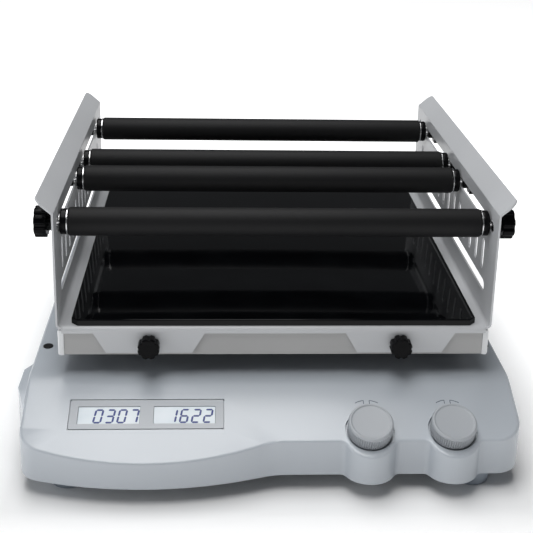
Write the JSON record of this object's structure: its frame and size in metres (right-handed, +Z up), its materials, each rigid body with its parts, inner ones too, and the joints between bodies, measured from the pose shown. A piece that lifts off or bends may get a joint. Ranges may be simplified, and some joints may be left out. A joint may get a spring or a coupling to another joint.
{
  "type": "orbital shaker",
  "caption": "Benchtop orbital shaker: sloped control panel with digital displays and push knobs, eccentric-driven platform and a slotted carrier with sliding padded bars for flasks.",
  "frame": {"origin": "on the table, in the middle of the footprint with the switch pod", "axes": "+Z up, -Y towards the control panel, +X to the right as the user faces it"},
  "size_m": [0.3774, 0.4234, 0.2081],
  "materials": {
    "housing_grey": "fine satin moulded texture",
    "steel_plate": "satin",
    "foot_rubber": "matte",
    "zinc": "zinc plated",
    "bezel_grey": "satin",
    "lcd": "lit display glass",
    "circuit_green": "solder mask",
    "encoder_metal": "plated",
    "knob_grey": "satin",
    "steel_bright": "ground",
    "black_plastic": "satin",
    "aluminium": "machined",
    "counterweight_steel": "cut plate",
    "motor_can": "satin",
    "belt_rubber": "matte",
    "trim_white": "satin",
    "carrier_paint": "fine powder coat",
    "mat_rubber": "glossy",
    "star_black": "glossy",
    "sleeve_rubber": "matte"
  },
  "bodies": {
    "base": {"base_housing": "housing_grey", "bottom_plate": "steel_plate", "rubber_feet": "foot_rubber", "screws": "zinc", "deck_plugs": "foot_rubber", "display_bezel": "bezel_grey", "lcd_modules": "lcd", "control_board": "circuit_green", "knob_encoders": "encoder_metal", "switch_body": "black_plastic", "power_inlet": "black_plastic", "fuse_drawer": "black_plastic", "power_supply": "circuit_green", "chassis_plate": "steel_plate", "chassis_posts": "steel_plate", "bearing_hub": "aluminium", "base_bearings": "steel_bright", "motor": "motor_can", "drive_belt": "belt_rubber"},
    "crank": {"drive_crank": "steel_bright", "driven_pulley": "aluminium", "counterweight": "counterweight_steel"},
    "motor_rotor": {"motor_shaft": "steel_bright", "motor_pulley": "aluminium"},
    "platform": {"platform": "aluminium", "platform_trims": "trim_white", "platform_bearings": "steel_bright", "carrier_tray": "carrier_paint", "rubber_mat": "mat_rubber"},
    "speed_spindle": {"speed_shaft": "steel_bright"},
    "speed_knob": {"speed_knob": "knob_grey"},
    "time_spindle": {"time_shaft": "steel_bright"},
    "time_knob": {"time_knob": "knob_grey"},
    "power_rocker": {"power_rocker": "black_plastic"},
    "thumb_left": {"thumb_screw_left": "star_black"},
    "thumb_right": {"thumb_screw_right": "star_black"},
    "idler_left_front": {"idler_crank_left_front": "steel_bright"},
    "idler_left_rear": {"idler_crank_left_rear": "steel_bright"},
    "idler_right_front": {"idler_crank_right_front": "steel_bright"},
    "idler_right_rear": {"idler_crank_right_rear": "steel_bright"},
    "bar_1": {"bar_1_rod": "steel_bright", "bar_1_sleeve": "sleeve_rubber", "bar_1_collars": "star_black"},
    "bar_2": {"bar_2_rod": "steel_bright", "bar_2_sleeve": "sleeve_rubber", "bar_2_collars": "star_black"},
    "bar_3": {"bar_3_rod": "steel_bright", "bar_3_sleeve": "sleeve_rubber", "bar_3_collars": "star_black"},
    "bar_4": {"bar_4_rod": "steel_bright", "bar_4_sleeve": "sleeve_rubber", "bar_4_collars": "star_black"},
    "bar_1_left_knob": {"bar_1_knob_left": "star_black"},
    "bar_1_right_knob": {"bar_1_knob_right": "star_black"},
    "bar_2_left_knob": {"bar_2_knob_left": "star_black"},
    "bar_2_right_knob": {"bar_2_knob_right": "star_black"},
    "bar_3_left_knob": {"bar_3_knob_left": "star_black"},
    "bar_3_right_knob": {"bar_3_knob_right": "star_black"},
    "bar_4_left_knob": {"bar_4_knob_left": "star_black"},
    "bar_4_right_knob": {"bar_4_knob_right": "star_black"}
  },
  "joints": [
    {"name": "crank_spin", "type": "hinge", "parent": "base", "child": "crank", "pos_m": [0.0035, 0.022, 0.067], "axis": [0, 0, 1], "continuous": true},
    {"name": "motor_spin", "type": "hinge", "parent": "base", "child": "motor_rotor", "pos_m": [0.0035, -0.083, 0.035], "axis": [0, 0, 1], "continuous": true},
    {"name": "platform_orbit", "type": "hinge", "parent": "crank", "child": "platform", "pos_m": [0.006, 0.02633, 0.088], "axis": [0, 0, 1], "continuous": true},
    {"name": "idler_left_front_spin", "type": "hinge", "parent": "base", "child": "idler_left_front", "pos_m": [-0.1115, -0.093, 0.065], "axis": [0, 0, 1], "continuous": true},
    {"name": "idler_left_rear_spin", "type": "hinge", "parent": "base", "child": "idler_left_rear", "pos_m": [-0.1115, 0.137, 0.065], "axis": [0, 0, 1], "continuous": true},
    {"name": "idler_right_front_spin", "type": "hinge", "parent": "base", "child": "idler_right_front", "pos_m": [0.1185, -0.093, 0.065], "axis": [0, 0, 1], "continuous": true},
    {"name": "idler_right_rear_spin", "type": "hinge", "parent": "base", "child": "idler_right_rear", "pos_m": [0.1185, 0.137, 0.065], "axis": [0, 0, 1], "continuous": true},
    {"name": "speed_turn", "type": "hinge", "parent": "base", "child": "speed_spindle", "pos_m": [0.0745, -0.18432, 0.04561], "axis": [0, -0.3827, 0.9239], "continuous": true},
    {"name": "speed_push", "type": "slide", "parent": "speed_spindle", "child": "speed_knob", "axis": [0, 0.3827, -0.9239], "range_m": [0, 0.001], "stiffness_N_per_m": 2000, "springref_m": -0.0005},
    {"name": "time_turn", "type": "hinge", "parent": "base", "child": "time_spindle", "pos_m": [0.136, -0.18432, 0.04561], "axis": [0, -0.3827, 0.9239], "continuous": true},
    {"name": "time_push", "type": "slide", "parent": "time_spindle", "child": "time_knob", "axis": [0, 0.3827, -0.9239], "range_m": [0, 0.001], "stiffness_N_per_m": 2000, "springref_m": -0.0005},
    {"name": "rocker_tilt", "type": "hinge", "parent": "base", "child": "power_rocker", "pos_m": [-0.1821, -0.128, 0.0395], "axis": [0, 0, 1], "range_deg": [-16, 0]},
    {"name": "thumb_left_turn", "type": "hinge", "parent": "platform", "child": "thumb_left", "pos_m": [-0.0895, -0.14167, 0.0925], "axis": [0, -1, 0], "continuous": true},
    {"name": "thumb_right_turn", "type": "hinge", "parent": "platform", "child": "thumb_right", "pos_m": [0.1015, -0.14167, 0.0925], "axis": [0, -1, 0], "continuous": true},
    {"name": "bar_1_slide", "type": "slide", "parent": "platform", "child": "bar_1", "axis": [0, 1, 0], "range_m": [-0.009, 0.062]},
    {"name": "bar_1_left_knob_turn", "type": "hinge", "parent": "bar_1", "child": "bar_1_left_knob", "pos_m": [-0.169, -0.11197, 0.1814], "axis": [-1, 0, 0], "continuous": true},
    {"name": "bar_1_right_knob_turn", "type": "hinge", "parent": "bar_1", "child": "bar_1_right_knob", "pos_m": [0.181, -0.11197, 0.1814], "axis": [1, 0, 0], "continuous": true},
    {"name": "bar_2_slide", "type": "slide", "parent": "platform", "child": "bar_2", "axis": [0, 1, 0], "range_m": [-0.013, 0.011]},
    {"name": "bar_2_left_knob_turn", "type": "hinge", "parent": "bar_2", "child": "bar_2_left_knob", "pos_m": [-0.169, -0.00867, 0.1814], "axis": [-1, 0, 0], "continuous": true},
    {"name": "bar_2_right_knob_turn", "type": "hinge", "parent": "bar_2", "child": "bar_2_right_knob", "pos_m": [0.181, -0.00867, 0.1814], "axis": [1, 0, 0], "continuous": true},
    {"name": "bar_3_slide", "type": "slide", "parent": "platform", "child": "bar_3", "axis": [0, 1, 0], "range_m": [-0.011, 0.039]},
    {"name": "bar_3_left_knob_turn", "type": "hinge", "parent": "bar_3", "child": "bar_3_left_knob", "pos_m": [-0.169, 0.03943, 0.1814], "axis": [-1, 0, 0], "continuous": true},
    {"name": "bar_3_right_knob_turn", "type": "hinge", "parent": "bar_3", "child": "bar_3_right_knob", "pos_m": [0.181, 0.03943, 0.1814], "axis": [1, 0, 0], "continuous": true},
    {"name": "bar_4_slide", "type": "slide", "parent": "platform", "child": "bar_4", "axis": [0, 1, 0], "range_m": [-0.04, 0.027]},
    {"name": "bar_4_left_knob_turn", "type": "hinge", "parent": "bar_4", "child": "bar_4_left_knob", "pos_m": [-0.169, 0.14603, 0.1814], "axis": [-1, 0, 0], "continuous": true},
    {"name": "bar_4_right_knob_turn", "type": "hinge", "parent": "bar_4", "child": "bar_4_right_knob", "pos_m": [0.181, 0.14603, 0.1814], "axis": [1, 0, 0], "continuous": true}
  ],
  "couplings": [
    {"joint": "platform_orbit", "follows": "crank_spin", "ratio": -1},
    {"joint": "motor_spin", "follows": "crank_spin", "ratio": 3},
    {"joint": "idler_left_front_spin", "follows": "crank_spin", "ratio": 1},
    {"joint": "idler_left_rear_spin", "follows": "crank_spin", "ratio": 1},
    {"joint": "idler_right_front_spin", "follows": "crank_spin", "ratio": 1},
    {"joint": "idler_right_rear_spin", "follows": "crank_spin", "ratio": 1}
  ]
}
